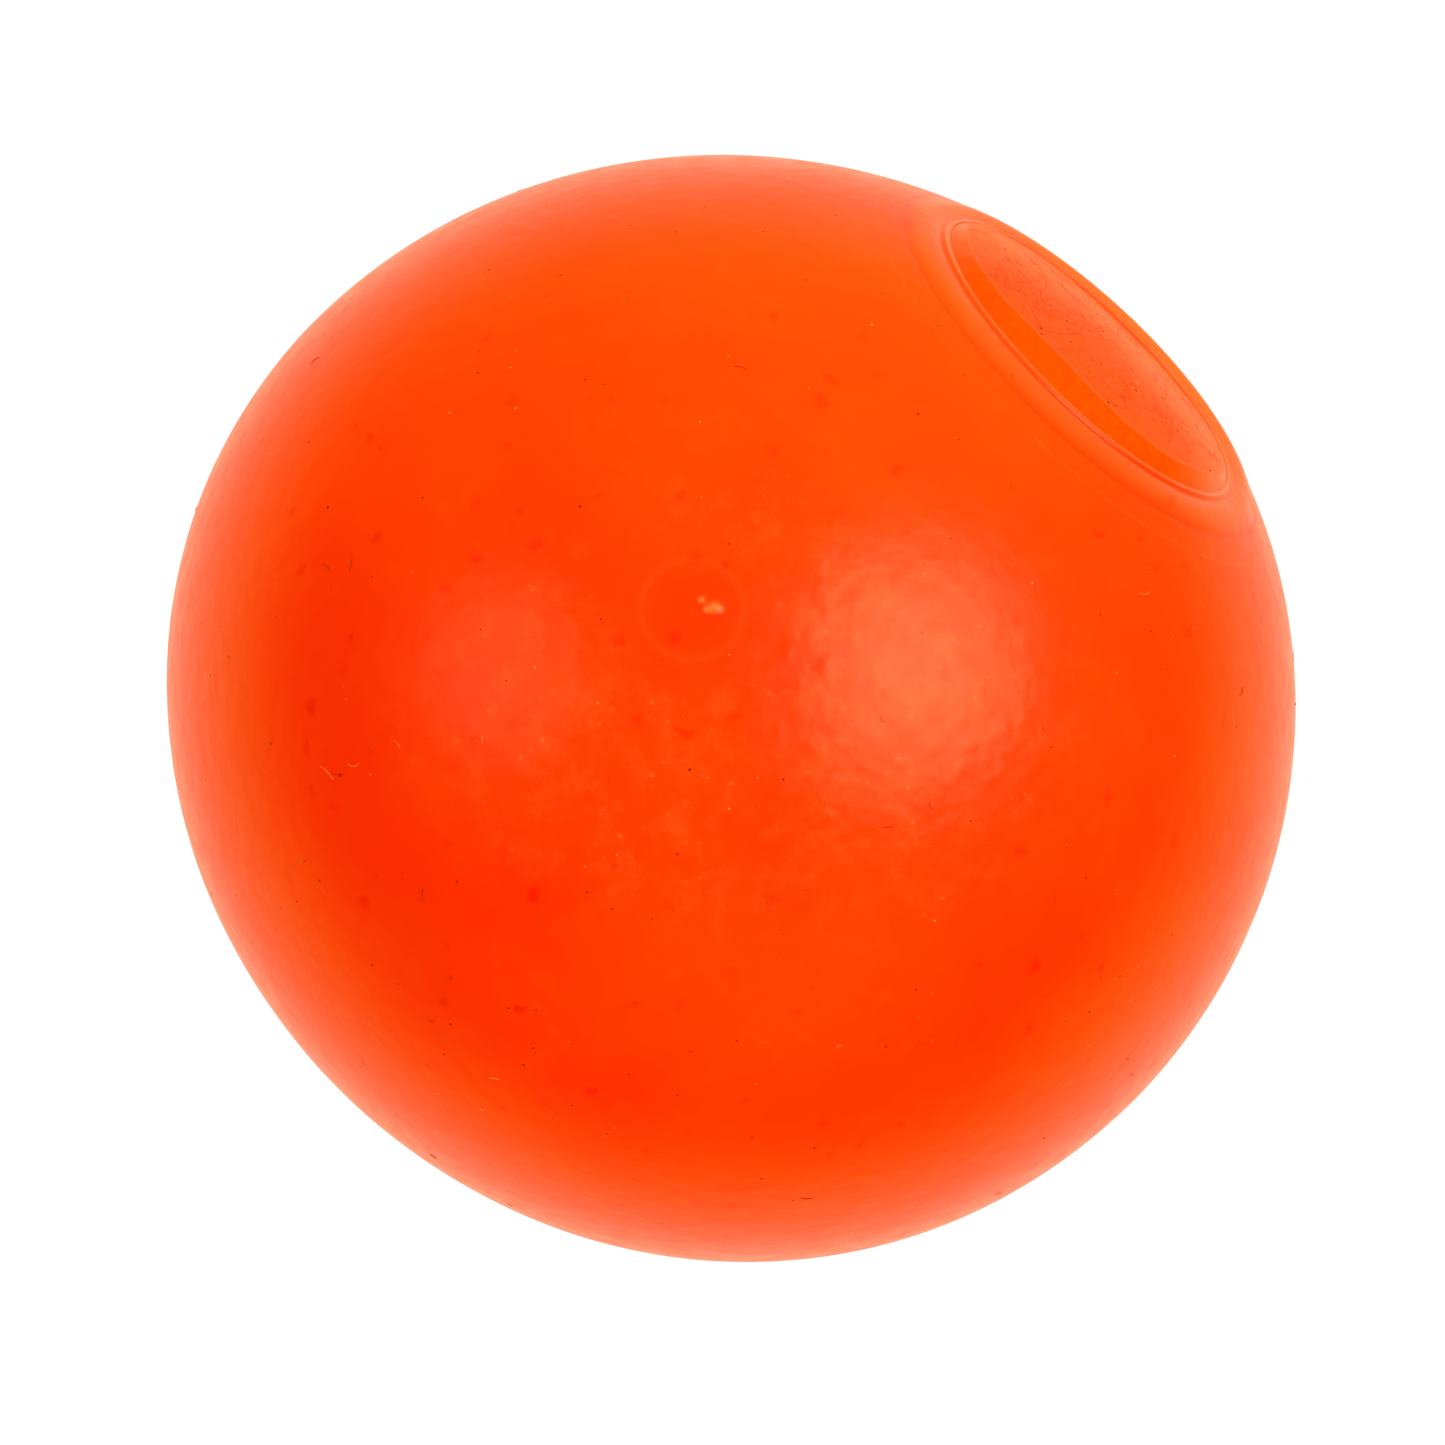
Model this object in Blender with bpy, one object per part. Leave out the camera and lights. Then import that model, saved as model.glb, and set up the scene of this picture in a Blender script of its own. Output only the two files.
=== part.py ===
"""Soft squeeze ball: a rubber skin full of dough, closed by a glued stopper.

Every sub-part is a profile turned about the stopper's axis. The four turned solids then take
the shape of a soft ball that rests on a table: sagged, drawn in at the stopper, flat underneath.
Metres, +Z up. The ball rests on Z = 0 and its box is centred on the origin.
"""

import math

import bmesh
import bpy
from mathutils import Matrix, Vector

MM = 0.001

# Driving dimensions
BALL_RADIUS = 31.75 * MM
WALL = 2.5 * MM
GAP = 0.3 * MM

# How the soft ball stands
STOPPER_AZIMUTH = math.radians(6.2)
STOPPER_ELEVATION = math.radians(47.4)
GATE_AZIMUTH = math.radians(-94.7)
GATE_ELEVATION = math.radians(40.1)
SAG = 0.026
DRAW_IN = 0.024
REST_RADIUS = 0.30 * BALL_RADIUS
REST_EDGE_ROUND = 0.5 * MM

# Collar and mouth of the skin
FOOT_RADIUS = 0.416 * BALL_RADIUS
FOOT_DEPTH = 0.15 * MM
FOOT_BLEND = 0.7 * MM
COLLAR_RISE = 0.1 * MM
LIP_RADIUS = 0.351 * BALL_RADIUS
LIP_BEAD = 0.2 * MM
MOUTH_RADIUS = 10.2 * MM
MOUTH_EDGE_DROP = 0.4 * MM
SEAT_DEPTH = 2.3 * MM
BOSS_RADIUS = 11.5 * MM
BOSS_DRAFT = 1.0 * MM
HOLE_RADIUS = 5.9 * MM

# Stopper and the glue over it
HEAD_RADIUS = 9.0 * MM
HEAD_THICKNESS = 1.05 * MM
HEAD_DOME = 0.2 * MM
FLANGE_REACH = 2.0 * MM
FLANGE_THICKNESS = 1.6 * MM
FLANGE_TAPER = 1.4 * MM
GLUE_THICKNESS = 0.3 * MM
GLUE_CLIMB = 0.2 * MM

# Moulding gate on the skin
GATE_RADIUS = 0.45 * MM
GATE_HEIGHT = 0.25 * MM
GATE_ROOT = 0.8 * MM

# Facets
TURN_STEPS = 64
SPHERE_STEPS = 26
GATE_STEPS = 16


def pointing(azimuth, elevation):
    """Unit vector at an azimuth from +X and an elevation above the table."""
    flat = math.cos(elevation)
    return Vector((flat * math.cos(azimuth), flat * math.sin(azimuth), math.sin(elevation)))


UP = Vector((0, 0, 1))
STOPPER_AXIS = pointing(STOPPER_AZIMUTH, STOPPER_ELEVATION)
GATE_AXIS = pointing(GATE_AZIMUTH, GATE_ELEVATION)


def ball_height(radius, offset):
    """Height over the ball's centre of a sphere at an offset from the stopper's axis."""
    return math.sqrt(radius * radius - offset * offset)


# Heights along the stopper's axis, from the ball's centre
LIP_HEIGHT = ball_height(BALL_RADIUS, LIP_RADIUS)
MOUTH_HEIGHT = LIP_HEIGHT - MOUTH_EDGE_DROP
SEAT_HEIGHT = LIP_HEIGHT - SEAT_DEPTH
BOSS_HEIGHT = SEAT_HEIGHT - WALL
HEAD_HEIGHT = SEAT_HEIGHT + GAP + HEAD_THICKNESS
FLANGE_HEIGHT = BOSS_HEIGHT - GAP
FLANGE_RADIUS = HOLE_RADIUS - GAP + FLANGE_REACH


def sphere_arc(radius, start_offset):
    """Profile of a sphere from a point near the stopper round to the far pole."""
    start = math.asin(start_offset / radius)
    steps = range(SPHERE_STEPS + 1)
    angles = [start + (math.pi - start) * step / SPHERE_STEPS for step in steps]
    points = [(radius * math.sin(angle), radius * math.cos(angle)) for angle in angles]
    points[-1] = (0.0, -radius)
    return points


def collar_profile():
    """Outer side of the collar, from the foot groove in to the lip's bead."""
    foot = (FOOT_RADIUS, ball_height(BALL_RADIUS, FOOT_RADIUS) - FOOT_DEPTH)
    points = [foot]
    for share in (0.3, 0.6, 0.85):
        offset = FOOT_RADIUS + (LIP_RADIUS - FOOT_RADIUS) * share
        rise = COLLAR_RISE * math.sin(math.pi * share)
        points.append((offset, ball_height(BALL_RADIUS, offset) + rise))
    points.append((LIP_RADIUS + LIP_BEAD, LIP_HEIGHT - LIP_BEAD / 4))
    points.append((LIP_RADIUS, LIP_HEIGHT))
    points.append((LIP_RADIUS - LIP_BEAD, LIP_HEIGHT - LIP_BEAD / 2))
    return points


def skin_profile():
    """Hollow ball with a thick neck: outside, collar, seat, hole, boss and inside."""
    outside = sphere_arc(BALL_RADIUS, FOOT_RADIUS + FOOT_BLEND)
    neck = [
        (MOUTH_RADIUS, MOUTH_HEIGHT),
        (MOUTH_RADIUS, SEAT_HEIGHT),
        (HOLE_RADIUS, SEAT_HEIGHT),
        (HOLE_RADIUS, BOSS_HEIGHT),
        (BOSS_RADIUS, BOSS_HEIGHT),
    ]
    inside = sphere_arc(BALL_RADIUS - WALL, BOSS_RADIUS + BOSS_DRAFT)
    return outside[::-1] + collar_profile() + neck + inside


def stopper_profile():
    """Domed head on the seat, stem through the hole, tapered flange behind the boss."""
    stem_radius = HOLE_RADIUS - GAP
    return [
        (0.0, HEAD_HEIGHT + HEAD_DOME),
        (HEAD_RADIUS / 2, HEAD_HEIGHT + HEAD_DOME * 0.75),
        (HEAD_RADIUS, HEAD_HEIGHT),
        (HEAD_RADIUS, SEAT_HEIGHT + GAP),
        (stem_radius, SEAT_HEIGHT + GAP),
        (stem_radius, FLANGE_HEIGHT),
        (FLANGE_RADIUS, FLANGE_HEIGHT),
        (FLANGE_RADIUS - FLANGE_TAPER, FLANGE_HEIGHT - FLANGE_THICKNESS),
        (0.0, FLANGE_HEIGHT - FLANGE_THICKNESS),
    ]


def glue_profile():
    """Film over the stopper's head, turned down into the groove around it."""
    under = GAP
    over = GAP + GLUE_THICKNESS
    rim_radius = MOUTH_RADIUS - GAP
    groove_floor = SEAT_HEIGHT + GAP
    return [
        (0.0, HEAD_HEIGHT + HEAD_DOME + over),
        (HEAD_RADIUS / 2, HEAD_HEIGHT + HEAD_DOME * 0.75 + over),
        (HEAD_RADIUS, HEAD_HEIGHT + over),
        (rim_radius, HEAD_HEIGHT + over + GLUE_CLIMB),
        (rim_radius, groove_floor),
        (HEAD_RADIUS + GAP, groove_floor),
        (HEAD_RADIUS + GAP, HEAD_HEIGHT + under),
        (HEAD_RADIUS, HEAD_HEIGHT + under),
        (HEAD_RADIUS / 2, HEAD_HEIGHT + HEAD_DOME * 0.75 + under),
        (0.0, HEAD_HEIGHT + HEAD_DOME + under),
    ]


def filling_profile():
    """Dough that fills the skin, hollowed round the boss and the stopper's flange."""
    pocket_radius = FLANGE_RADIUS + GAP
    pocket_height = FLANGE_HEIGHT - FLANGE_THICKNESS - GAP
    boss_clearance = BOSS_RADIUS + BOSS_DRAFT + GAP
    outside = sphere_arc(BALL_RADIUS - WALL - GAP, boss_clearance)
    top = [
        (BOSS_RADIUS + GAP, BOSS_HEIGHT - GAP),
        (pocket_radius, BOSS_HEIGHT - GAP),
        (pocket_radius, pocket_height),
        (0.0, pocket_height),
    ]
    return outside[::-1] + top


def stretch(axis, amount):
    """Linear map that shortens space along an axis and widens it across, keeping its volume."""
    along = 1 - 2 * amount / 3
    across = 1 + amount / 3
    return Matrix.Scale(across, 3) @ Matrix.Scale(along / across, 3, axis)


SOFT_SHAPE = stretch(STOPPER_AXIS, DRAW_IN) @ stretch(UP, SAG)
REST_DEPTH = (SOFT_SHAPE @ (-BALL_RADIUS * UP)).length * math.cos(math.asin(REST_RADIUS / BALL_RADIUS))


def rounded_minimum(first, second, rounding):
    """Smaller of two lengths, blended where they are closer than the rounding."""
    overlap = max(rounding - abs(first - second), 0.0)
    return min(first, second) - overlap * overlap / (4 * rounding)


def settled(point):
    """Where a point of the turned, stress-free ball lies once the soft ball rests."""
    shaped = SOFT_SHAPE @ point
    if shaped.z >= 0:
        return shaped
    surface = shaped.length * BALL_RADIUS / point.length
    table = REST_DEPTH * shaped.length / -shaped.z
    return shaped * (rounded_minimum(surface, table, REST_EDGE_ROUND) / surface)


def rubber(name, color, roughness):
    """Plain Principled material."""
    material = bpy.data.materials.new(name)
    material.use_nodes = True
    shader = material.node_tree.nodes["Principled BSDF"]
    shader.inputs["Base Color"].default_value = (*color, 1.0)
    shader.inputs["Roughness"].default_value = roughness
    shader.inputs["Metallic"].default_value = 0.0
    return material


def turned(name, profile, material, parent):
    """Closed solid of a profile turned about the stopper's axis, settled to its resting shape."""
    mesh = bpy.data.meshes.new(name)
    shape = bmesh.new()
    verts = [shape.verts.new((offset, 0.0, height)) for offset, height in profile]
    for start, end in zip(verts, verts[1:]):
        shape.edges.new((start, end))
    bmesh.ops.spin(shape, geom=shape.verts[:] + shape.edges[:], axis=UP, cent=(0, 0, 0),
                   angle=math.tau, steps=TURN_STEPS, use_merge=True)
    bmesh.ops.remove_doubles(shape, verts=shape.verts[:], dist=0.01 * MM)
    to_axis = UP.rotation_difference(STOPPER_AXIS).to_matrix()
    for vert in shape.verts:
        vert.co = settled(to_axis @ vert.co)
    bmesh.ops.recalc_face_normals(shape, faces=shape.faces[:])
    for face in shape.faces:
        face.smooth = True
    shape.to_mesh(mesh)
    shape.free()
    mesh.materials.append(material)
    body = bpy.data.objects.new(name, mesh)
    bpy.context.scene.collection.objects.link(body)
    body.parent = parent
    mesh.set_sharp_from_angle(angle=math.radians(35))
    return body


def add_gate(skin, material, parent):
    """Small nub left by the moulding gate, joined to the skin by a Boolean."""
    bpy.ops.mesh.primitive_cone_add(vertices=GATE_STEPS, radius1=GATE_RADIUS, radius2=GATE_RADIUS / 2,
                                    depth=GATE_ROOT + GATE_HEIGHT)
    nub = bpy.context.object
    nub.name = "gate_nub_tool"
    nub.data.materials.append(material)
    nub.parent = parent
    nub.rotation_mode = "QUATERNION"
    nub.rotation_quaternion = UP.rotation_difference(GATE_AXIS)
    surface = settled(GATE_AXIS * BALL_RADIUS)
    nub.location = surface + GATE_AXIS * (GATE_HEIGHT - GATE_ROOT) / 2
    nub.hide_render = True
    nub.hide_viewport = True
    nub.display_type = "WIRE"
    union = skin.modifiers.new("gate", "BOOLEAN")
    union.operation = "UNION"
    union.solver = "EXACT"
    union.object = nub


def stand_on_origin(frame, skin):
    """Move the frame so that the ball's box stands on the origin."""
    points = [vert.co for vert in skin.data.vertices]
    center_x = (min(point.x for point in points) + max(point.x for point in points)) / 2
    center_y = (min(point.y for point in points) + max(point.y for point in points)) / 2
    frame.location = (-center_x, -center_y, REST_DEPTH)


def main():
    """Clear the scene and build the ball's four sub-parts."""
    for old in list(bpy.data.objects):
        bpy.data.objects.remove(old, do_unlink=True)
    skin_rubber = rubber("skin_rubber", (1.0, 0.08, 0.0), 0.38)
    stopper_rubber = rubber("stopper_rubber", (1.0, 0.1, 0.01), 0.4)
    clear_glue = rubber("clear_glue", (1.0, 0.16, 0.03), 0.2)
    dough = rubber("dough", (0.86, 0.74, 0.52), 0.7)

    frame = bpy.data.objects.new("ball_frame", None)
    bpy.context.scene.collection.objects.link(frame)
    skin = turned("outer_skin", skin_profile(), skin_rubber, frame)
    add_gate(skin, skin_rubber, frame)
    turned("dough_filling", filling_profile(), dough, frame)
    turned("fill_stopper", stopper_profile(), stopper_rubber, frame)
    turned("glue_seal", glue_profile(), clear_glue, frame)
    stand_on_origin(frame, skin)
    bpy.context.view_layer.update()


main()
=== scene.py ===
"""Looks of the soft squeeze ball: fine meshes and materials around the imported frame."""

import math

import bmesh
import bpy
import numpy as np
from mathutils import Matrix, Vector, noise


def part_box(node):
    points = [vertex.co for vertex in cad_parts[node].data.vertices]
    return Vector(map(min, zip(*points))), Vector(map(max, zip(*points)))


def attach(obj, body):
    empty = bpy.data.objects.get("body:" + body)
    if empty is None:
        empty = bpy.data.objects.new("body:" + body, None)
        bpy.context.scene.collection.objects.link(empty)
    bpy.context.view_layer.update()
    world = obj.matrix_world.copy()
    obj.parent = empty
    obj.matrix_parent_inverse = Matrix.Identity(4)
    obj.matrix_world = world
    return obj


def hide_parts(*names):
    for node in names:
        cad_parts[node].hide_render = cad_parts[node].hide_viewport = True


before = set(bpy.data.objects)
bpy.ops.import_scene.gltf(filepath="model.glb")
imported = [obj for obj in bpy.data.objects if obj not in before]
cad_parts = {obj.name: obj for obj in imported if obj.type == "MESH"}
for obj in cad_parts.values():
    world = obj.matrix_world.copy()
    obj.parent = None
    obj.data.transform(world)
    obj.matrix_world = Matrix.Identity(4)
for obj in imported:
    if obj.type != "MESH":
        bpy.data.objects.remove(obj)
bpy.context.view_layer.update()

MM = 0.001

# noise_vector, which warps the drying lines, starts from the clock unless it is given a seed
noise.seed_set(7)

# The ball, with the sizes that its CAD solids have
BALL_RADIUS = 31.75 * MM
WALL = 2.5 * MM
GAP = 0.3 * MM
SAG = 0.026
DRAW_IN = 0.024
REST_RADIUS = 0.30 * BALL_RADIUS
REST_EDGE_ROUND = 0.9 * MM

# Rings round the stopper, as angles at the ball's centre
LIP_ANGLE = math.asin(0.338)
FOOT_ANGLE = math.asin(0.412)
WITNESS_ANGLE = math.asin(0.457)

LIP_RADIUS = BALL_RADIUS * math.sin(LIP_ANGLE)
LIP_HEIGHT = BALL_RADIUS * math.cos(LIP_ANGLE)

# Neck of the skin and the stopper in it, with heights over the ball's centre
MOUTH_RADIUS = 10.0 * MM
SEAT_DEPTH = 2.3 * MM
SEAT_HEIGHT = LIP_HEIGHT - SEAT_DEPTH
BOSS_HEIGHT = SEAT_HEIGHT - WALL
BOSS_RADIUS = 11.5 * MM
BOSS_DRAFT = 1.0 * MM
HOLE_RADIUS = 5.9 * MM
HEAD_RADIUS = 9.0 * MM
FLANGE_RADIUS = 7.6 * MM
FLANGE_TAPER = 1.4 * MM
FLANGE_THICKNESS = 1.6 * MM

# Far side of the mouth, away from the viewer, where the lip is sunk and the collar swollen
LIP_SINK = 0.40 * MM
COLLAR_TOP = math.asin(0.376)
FAR_RISE = 0.20 * MM
FAR_RISE_WIDTH = 1.3 * MM
FAR_RISE_TURN = math.radians(25)

# Glue film over the stopper, which sits a little askew: proud towards the viewer, sunk behind
GLUE_RIM = LIP_RADIUS - 0.37 * MM
FILM_FAR_EDGE = 0.322 * BALL_RADIUS
FILM_NARROWING = 0.032 * BALL_RADIUS
FILM_DENT = 0.028 * BALL_RADIUS
FILM_HEIGHT = 0.9711 * BALL_RADIUS
FILM_TILT = 0.0688
FILM_CURVE = 0.5 / BALL_RADIUS

# Three shallow lobes that the soft ball has kept from handling
LOBE_DEPTH = 0.0064
LOBE_TURN = math.radians(36.4)

# Gate mark, with each torn nub as its place to the side and above, its radius and height in mm
GATE_RING_RADIUS = 2.76 * MM
GATE_NUBS = ((1.20, 0.10, 0.34, 0.17), (0.80, 0.0, 0.20, 0.07), (0.50, 0.52, 0.20, 0.09))

# View
VIEW_ELEVATION = math.radians(30)
VIEW_DISTANCE = 0.60
BALL_SHARE_OF_FRAME = 0.3878
BALL_OFFSET_IN_FRAME = (0.0070, 0.0127)

# Warm light and a warm sheen, which keep the fluorescent rubber orange where it shines
WARM = (1.0, 0.95, 0.06)
PALE = (1.0, 0.96, 0.60)
WHITE = (1.0, 0.96, 1.0)
SPECULAR_TINT = (1.0, 0.95, 0.45, 1.0)

UP = Vector((0, 0, 1))
RIGHT = Vector((1, 0, 0))
TO_VIEWER = Vector((0, -math.cos(VIEW_ELEVATION), math.sin(VIEW_ELEVATION)))
VIEW_UP = TO_VIEWER.cross(RIGHT)


def pointing(azimuth, elevation):
    """Unit vector at an azimuth from +X and an elevation above the table, in degrees."""
    azimuth, elevation = math.radians(azimuth), math.radians(elevation)
    flat = math.cos(elevation)
    return Vector((flat * math.cos(azimuth), flat * math.sin(azimuth), math.sin(elevation)))


STOPPER_AXIS = pointing(6.2, 47.4)
GATE_AXIS = pointing(-94.7, 40.1)


# ---------------------------------------------------------------- resting shape of the soft ball

def stretch(axis, amount):
    """Linear map that shortens space along an axis and widens it across, keeping its volume."""
    along = 1 - 2 * amount / 3
    across = 1 + amount / 3
    return Matrix.Scale(across, 3) @ Matrix.Scale(along / across, 3, axis)


SOFT_SHAPE = stretch(STOPPER_AXIS, DRAW_IN) @ stretch(UP, SAG)
REST_DEPTH = (SOFT_SHAPE @ (-BALL_RADIUS * UP)).length * math.cos(math.asin(REST_RADIUS / BALL_RADIUS))
NEAR_SIDE = (TO_VIEWER - STOPPER_AXIS * TO_VIEWER.dot(STOPPER_AXIS)).normalized()
TO_STOPPER = np.array([NEAR_SIDE, STOPPER_AXIS.cross(NEAR_SIDE), STOPPER_AXIS]).T


def ball_center():
    """Centre of the ball's shape, found from the sides of the CAD skin away from the stopper."""
    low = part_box("outer_skin")[0]
    rows = [Vector(row) for row in SOFT_SHAPE]
    return Vector((low[0] + BALL_RADIUS * rows[0].length, low[1] + BALL_RADIUS * rows[1].length, REST_DEPTH))


CENTER = ball_center()


def unit(points):
    """Points scaled to length one."""
    return points / np.maximum(np.linalg.norm(points, axis=-1, keepdims=True), 1e-12)


def lobed(points):
    """Adds the three shallow lobes, strongest at the rim that the viewer sees."""
    directions = unit(points)
    across = directions @ np.array(RIGHT)
    upward = directions @ np.array(VIEW_UP)
    reach = np.hypot(across, upward)
    turn = np.arctan2(upward, across)
    swell = LOBE_DEPTH * reach ** 3 * np.cos(3 * (turn - LOBE_TURN))
    return points * (1 + swell)[..., None]


def settled(points):
    """Where points of the turned, stress-free ball lie once the soft ball rests on the table."""
    shaped = lobed(points) @ np.array(SOFT_SHAPE).T
    length = np.linalg.norm(shaped, axis=-1)
    surface = length * BALL_RADIUS / np.maximum(np.linalg.norm(points, axis=-1), 1e-9)
    down = np.maximum(-shaped[..., 2], 1e-6)
    table = REST_DEPTH * length / down
    overlap = np.maximum(REST_EDGE_ROUND - np.abs(surface - table), 0)
    limit = np.minimum(surface, table) - overlap ** 2 / (4 * REST_EDGE_ROUND)
    factor = np.where(shaped[..., 2] < 0, limit / np.maximum(surface, 1e-9), 1)
    return shaped * factor[..., None] + np.array(CENTER)


# ---------------------------------------------------------------- mesh helpers

def bump(distance, height, width):
    """Smooth ridge or, with a negative height, groove."""
    return height * np.exp(-((distance / width) ** 2))


def ease(value):
    """Smooth step of values from 0 to 1."""
    value = np.clip(value, 0, 1)
    return value * value * (3 - 2 * value)


def fractal(points, size, octaves=3, offset=0.0):
    """Smooth noise of about -1 to 1 at each point, with features of a size in metres."""
    shift = Vector((offset, offset, offset))
    return np.array([
        noise.fractal(Vector(point) / size + shift, 1.0, 2.0, octaves) for point in points
    ])


def turned(profile, steps):
    """Rings of points: a profile of (offset, height) turned about the stopper's axis."""
    profile = np.array(profile)
    turns = np.linspace(0, math.tau, steps, endpoint=False)
    rings = np.empty((len(profile), steps, 3))
    rings[..., 0] = profile[:, :1] * np.cos(turns)
    rings[..., 1] = profile[:, :1] * np.sin(turns)
    rings[..., 2] = profile[:, 1:]
    return rings


def ring_mesh(rings):
    """Closed bmesh over rings of points whose first and last rings are single points."""
    shape = bmesh.new()
    first = shape.verts.new(rings[0, 0])
    middle = [[shape.verts.new(point) for point in ring] for ring in rings[1:-1]]
    last = shape.verts.new(rings[-1, 0])
    count = rings.shape[1]
    for step in range(count):
        after = (step + 1) % count
        shape.faces.new((first, middle[0][step], middle[0][after]))
        shape.faces.new((last, middle[-1][after], middle[-1][step]))
        for ring, following in zip(middle, middle[1:]):
            shape.faces.new((ring[step], following[step], following[after], ring[after]))
    bmesh.ops.recalc_face_normals(shape, faces=shape.faces[:])
    return shape


def coordinates(shape):
    """Array of a bmesh's points."""
    return np.array([vert.co for vert in shape.verts])


def move_to(shape, points):
    """Puts a bmesh's points at the rows of an array."""
    for vert, point in zip(shape.verts, points):
        vert.co = point


def finished(name, shape, material, sharp=35):
    """Object from a bmesh, shaded smooth but for edges sharper than an angle."""
    mesh = bpy.data.meshes.new(name)
    for face in shape.faces:
        face.smooth = True
    shape.to_mesh(mesh)
    shape.free()
    mesh.materials.append(material)
    mesh.set_sharp_from_angle(angle=math.radians(sharp))
    piece = bpy.data.objects.new(name, mesh)
    bpy.context.scene.collection.objects.link(piece)
    return piece


def store(piece, name, values):
    """Keeps a value for each point of a piece, for its material to read."""
    piece.data.attributes.new(name, "FLOAT", "POINT").data.foreach_set("value", values)


def arc(radius, start, end, steps):
    """Points of a circle about the ball's centre, as (offset, height)."""
    return [(radius * math.sin(angle), radius * math.cos(angle)) for angle in np.linspace(start, end, steps)]


# ---------------------------------------------------------------- outer skin

SKIN_STEPS = 288
FAR_RING_STEP = math.radians(1.1)
FINE_RING_STEP = 0.07 * MM
INNER_RINGS = 34
NECK_BEVEL = 0.15 * MM
BOSS_BEVEL = 0.2 * MM
GATE_REACH = 1.7 * GATE_RING_RADIUS
GATE_CUTS = 4


def from_rings(angle):
    """Distances along the ball, outward from the lip, the collar's foot and the witness line."""
    return [(angle - ring) * BALL_RADIUS for ring in (LIP_ANGLE, FOOT_ANGLE, WITNESS_ANGLE)]


def collar_relief(angle):
    """Height of the moulded rings round the mouth over the plain ball."""
    from_lip, from_foot, from_witness = from_rings(angle)
    width = (FOOT_ANGLE - LIP_ANGLE) * BALL_RADIUS
    share = np.clip(from_lip / width, 0, 1)
    swell = 0.07 * MM * ease((1 - share) / 0.45)
    fall = 0.17 * MM * np.clip(1 - share / 0.7, 0, 1) ** 2.2
    foot = -0.022 * MM * np.exp(-np.abs(from_foot) / (0.13 * MM))
    lip = bump(from_lip, 0.13 * MM, 0.12 * MM) + bump(from_lip + 0.26 * MM, 0.03 * MM, 0.08 * MM)
    groove = bump(from_lip - 0.26 * MM, -0.05 * MM, 0.09 * MM)
    witness = bump(from_witness, 0.010 * MM, 0.07 * MM)
    return swell - fall + lip + groove + foot + witness


def ring_shade(points):
    """How much paler, or with a negative value redder, the rubber is painted along the collar's rings:
    painted highlights on the lip and on the collar, stronger on its far side, and painted shade in the
    groove outside the lip and at the collar's foot.
    """
    directions = unit(points)
    angle = np.arccos(np.clip(directions @ np.array(STOPPER_AXIS), -1, 1))
    from_lip, from_foot, from_witness = from_rings(angle)
    # Painted highlight on the lip, and painted shade in the groove just outside it.
    lines = bump(from_lip + 0.12 * MM, 0.65, 0.14 * MM) - bump(from_lip - 0.27 * MM, 0.28, 0.08 * MM)
    lines = lines * (1 + 0.6 * fractal(points, 3 * MM, 2, 9.0))
    # The witness line is paler, and the collar's foot gets painted shade.
    lines = lines + bump(from_witness, 0.12, 0.07 * MM) - bump(from_foot, 0.50, 0.16 * MM)
    # The collar between lip and foot is painted paler, a painted highlight, and more so on its far side, a
    # painted reflection.
    behind = (1 - directions @ np.array(NEAR_SIDE) / np.maximum(np.sin(angle), 1e-6)) / 2
    pad = 0.20 * ease(from_lip / (0.3 * MM)) * ease(-from_foot / (1.1 * MM))
    return lines + pad * (1 + 2.5 * behind ** 2)


def sunk(points):
    """Points about the stopper's axis. Away from the viewer the lip is sunk and the collar swollen."""
    offset = np.hypot(points[..., 0], points[..., 1])
    behind = (1 - points[..., 0] / np.maximum(offset, 1e-9)) / 2
    top_offset = BALL_RADIUS * math.sin(COLLAR_TOP)
    inward = ease((top_offset - offset) / (top_offset - LIP_RADIUS))
    upward = ease((points[..., 2] - LIP_HEIGHT + SEAT_DEPTH) / (SEAT_DEPTH - 0.5 * MM))
    moved = points.copy()
    moved[..., 2] -= LIP_SINK * behind * inward * upward
    turned_x = points[..., 0] * math.cos(FAR_RISE_TURN) - points[..., 1] * math.sin(FAR_RISE_TURN)
    crest = (1 - turned_x / np.maximum(offset, 1e-9)) / 2
    outside = points[..., 2] > LIP_HEIGHT - 2.0 * MM
    moved[..., 2] += crest ** 5 * outside * bump(offset - top_offset, FAR_RISE, FAR_RISE_WIDTH)
    return moved


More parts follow.
